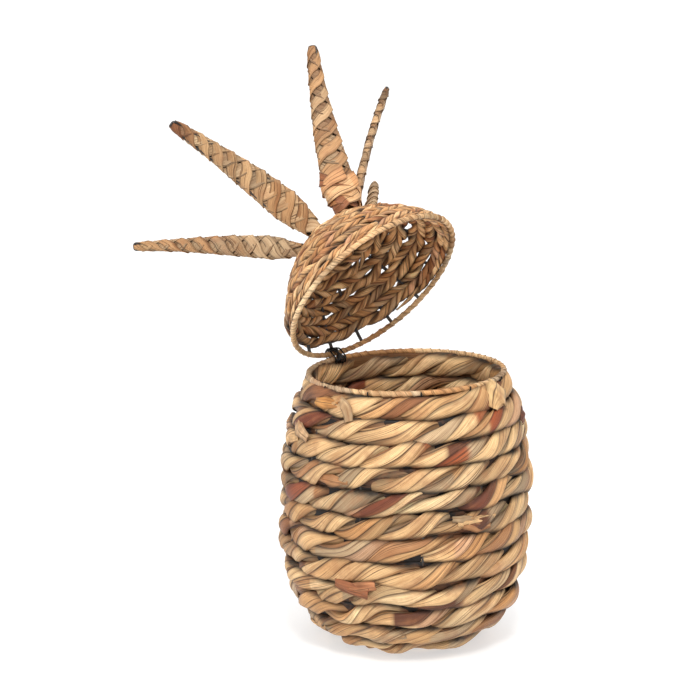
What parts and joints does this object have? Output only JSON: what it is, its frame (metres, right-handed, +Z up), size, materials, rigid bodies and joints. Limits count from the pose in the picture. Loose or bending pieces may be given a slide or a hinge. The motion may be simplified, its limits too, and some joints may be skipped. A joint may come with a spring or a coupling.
{
  "type": "woven pineapple basket with hinged lid",
  "caption": "Pineapple-shaped storage basket of twisted water hyacinth rope on a wire frame, with a lashed domed lid and a crown of wrapped wire leaves.",
  "frame": {"origin": "centre of the flat face under the base, on the basket's axis", "axes": "+Z up the basket's axis; the lid's hinge is at the rear left, 135.5 degrees round from +X towards +Y"},
  "size_m": [0.4046, 0.4042, 0.5776],
  "materials": {
    "twisted_rope": "satin",
    "fine_braid": "satin",
    "leaf_strip": "satin",
    "frame_wire": "satin",
    "lashing_wire": "satin"
  },
  "bodies": {
    "basket": {"base_hub": "twisted_rope", "base_ring_wire": "frame_wire", "base_row_01": "twisted_rope", "base_row_02": "twisted_rope", "body_rim_wire": "frame_wire", "body_rim_wrap": "leaf_strip", "rib_01": "frame_wire", "rib_02": "frame_wire", "rib_03": "frame_wire", "rib_04": "frame_wire", "rib_05": "frame_wire", "rib_06": "frame_wire", "rib_07": "frame_wire", "rib_08": "frame_wire", "rib_09": "frame_wire", "rib_10": "frame_wire", "rib_11": "frame_wire", "rib_12": "frame_wire", "wall_row_01": "twisted_rope", "wall_row_02": "twisted_rope", "wall_row_03": "twisted_rope", "wall_row_04": "twisted_rope", "wall_row_05": "twisted_rope", "wall_row_06": "twisted_rope", "wall_row_07": "twisted_rope", "wall_row_08": "twisted_rope", "wall_row_09": "twisted_rope", "wall_row_10": "twisted_rope", "wall_row_11": "twisted_rope", "wall_row_12": "twisted_rope"},
    "lid": {"crown_knot": "fine_braid", "crown_ring_wire": "frame_wire", "crown_wrap": "leaf_strip", "hinge_tie_left": "lashing_wire", "hinge_tie_right": "lashing_wire", "leaf_1_wire": "frame_wire", "leaf_1_wrap": "leaf_strip", "leaf_2_wire": "frame_wire", "leaf_2_wrap": "leaf_strip", "leaf_3_wire": "frame_wire", "leaf_3_wrap": "leaf_strip", "leaf_4_wire": "frame_wire", "leaf_4_wrap": "leaf_strip", "leaf_5_wire": "frame_wire", "leaf_5_wrap": "leaf_strip", "lid_ribs": "frame_wire", "lid_rim_wire": "frame_wire", "lid_rim_wrap": "leaf_strip", "lid_row_01": "fine_braid", "lid_row_02": "fine_braid", "lid_row_03": "fine_braid", "lid_row_04": "fine_braid", "lid_row_05": "fine_braid", "lid_row_06": "fine_braid", "lid_row_07": "fine_braid", "lid_row_08": "fine_braid", "lid_row_09": "fine_braid"}
  },
  "joints": [
    {"name": "lid_hinge", "type": "hinge", "parent": "basket", "child": "lid", "pos_m": [-0.06923, 0.06804, 0.26927], "axis": [-0.7009, -0.7133, 0], "range_deg": [-52, 58]}
  ]
}
